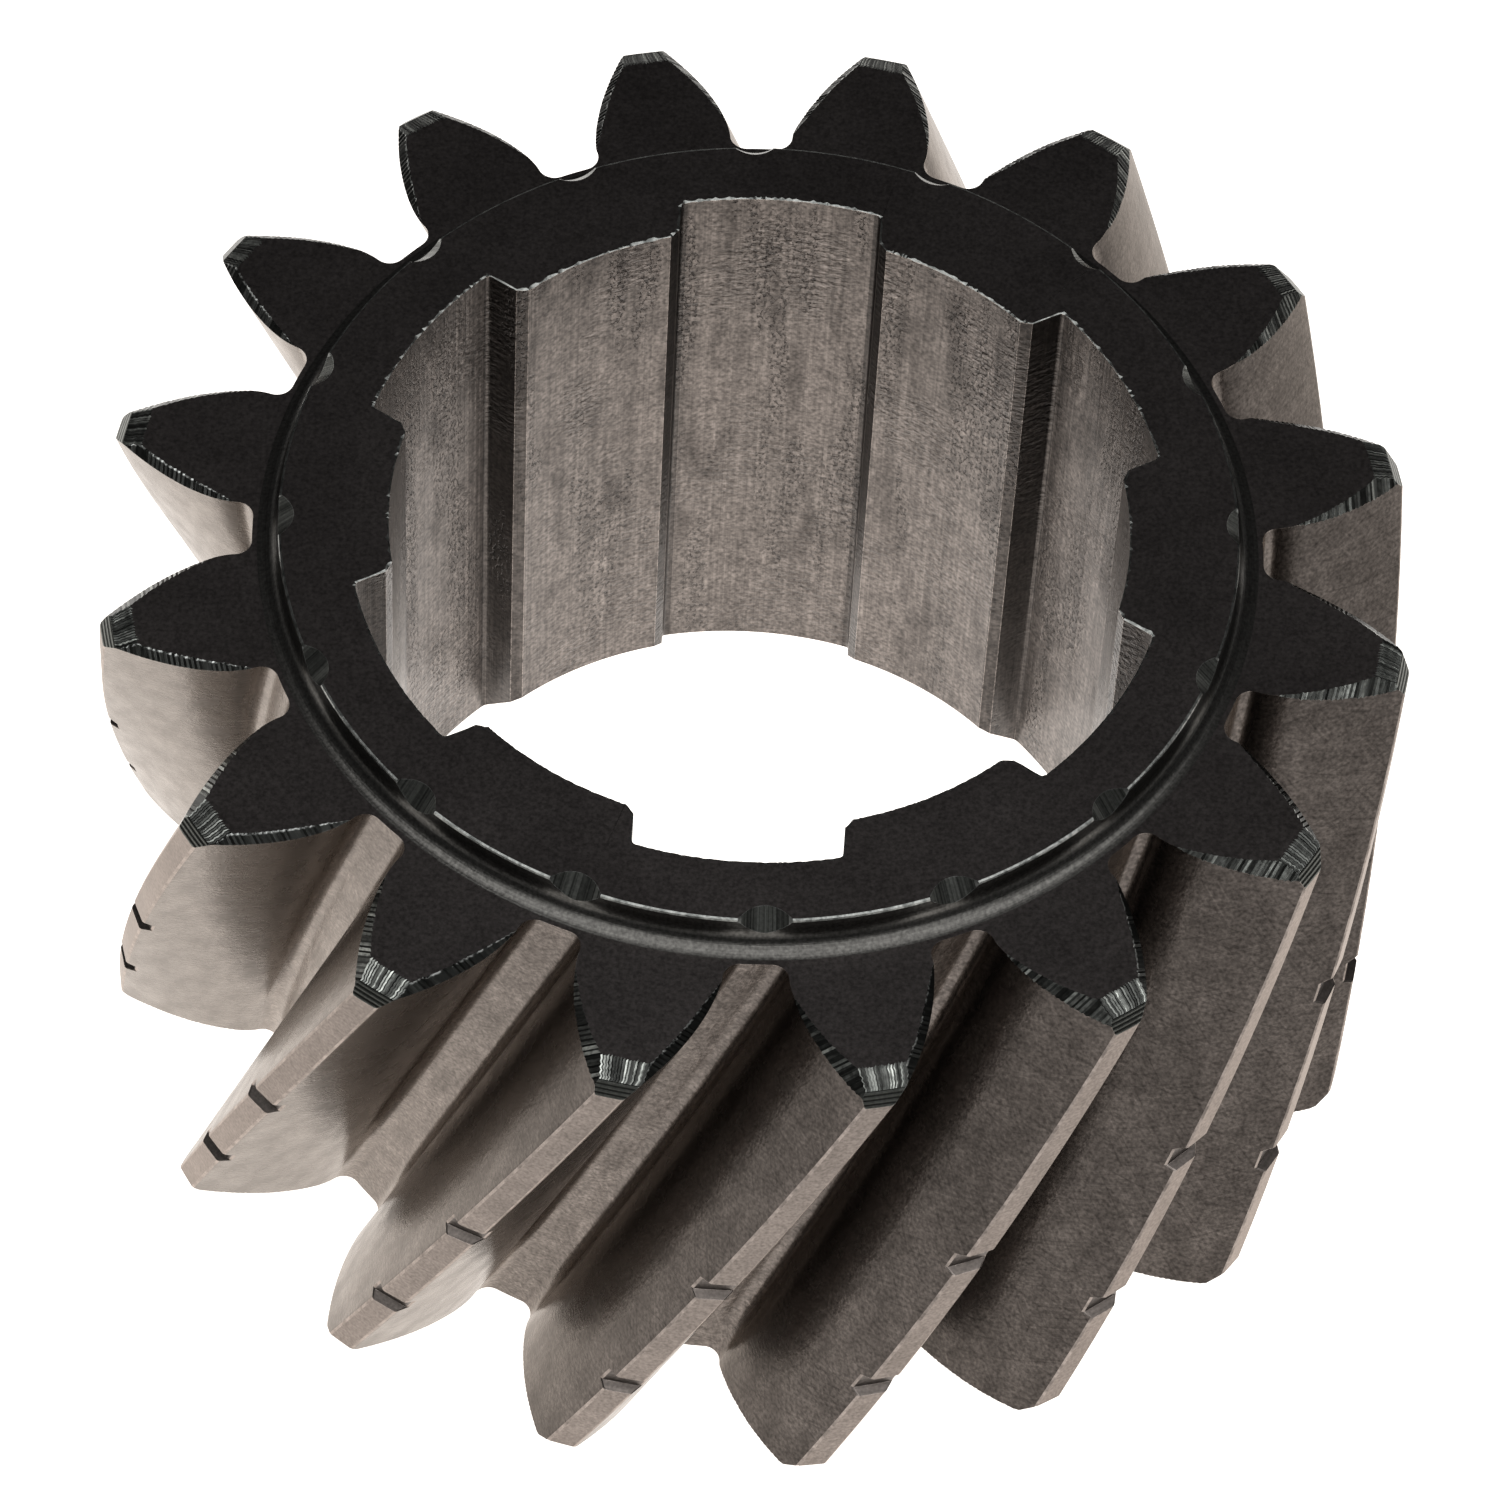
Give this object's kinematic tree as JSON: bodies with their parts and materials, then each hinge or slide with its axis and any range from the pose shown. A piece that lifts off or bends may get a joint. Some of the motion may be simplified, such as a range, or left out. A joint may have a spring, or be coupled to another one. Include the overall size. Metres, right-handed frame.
{
  "type": "helical gear",
  "caption": "Wide right-hand helical gear of one piece of steel, with milled tooth ends, two turned ring grooves round the teeth, a low raised hub ring and a straight-sided splined bore.",
  "frame": {"origin": "centre of the lower end face, on the gear's axis", "axes": "+Z along the gear's axis towards the raised hub ring; one pair of spline grooves lies along +Y and -Y"},
  "size_m": [0.1228, 0.1228, 0.0708],
  "materials": {
    "gear_steel": "ground satin steel, near-black oiled end faces"
  },
  "bodies": {
    "root": {"helical_gear": "gear_steel"}
  },
  "joints": []
}
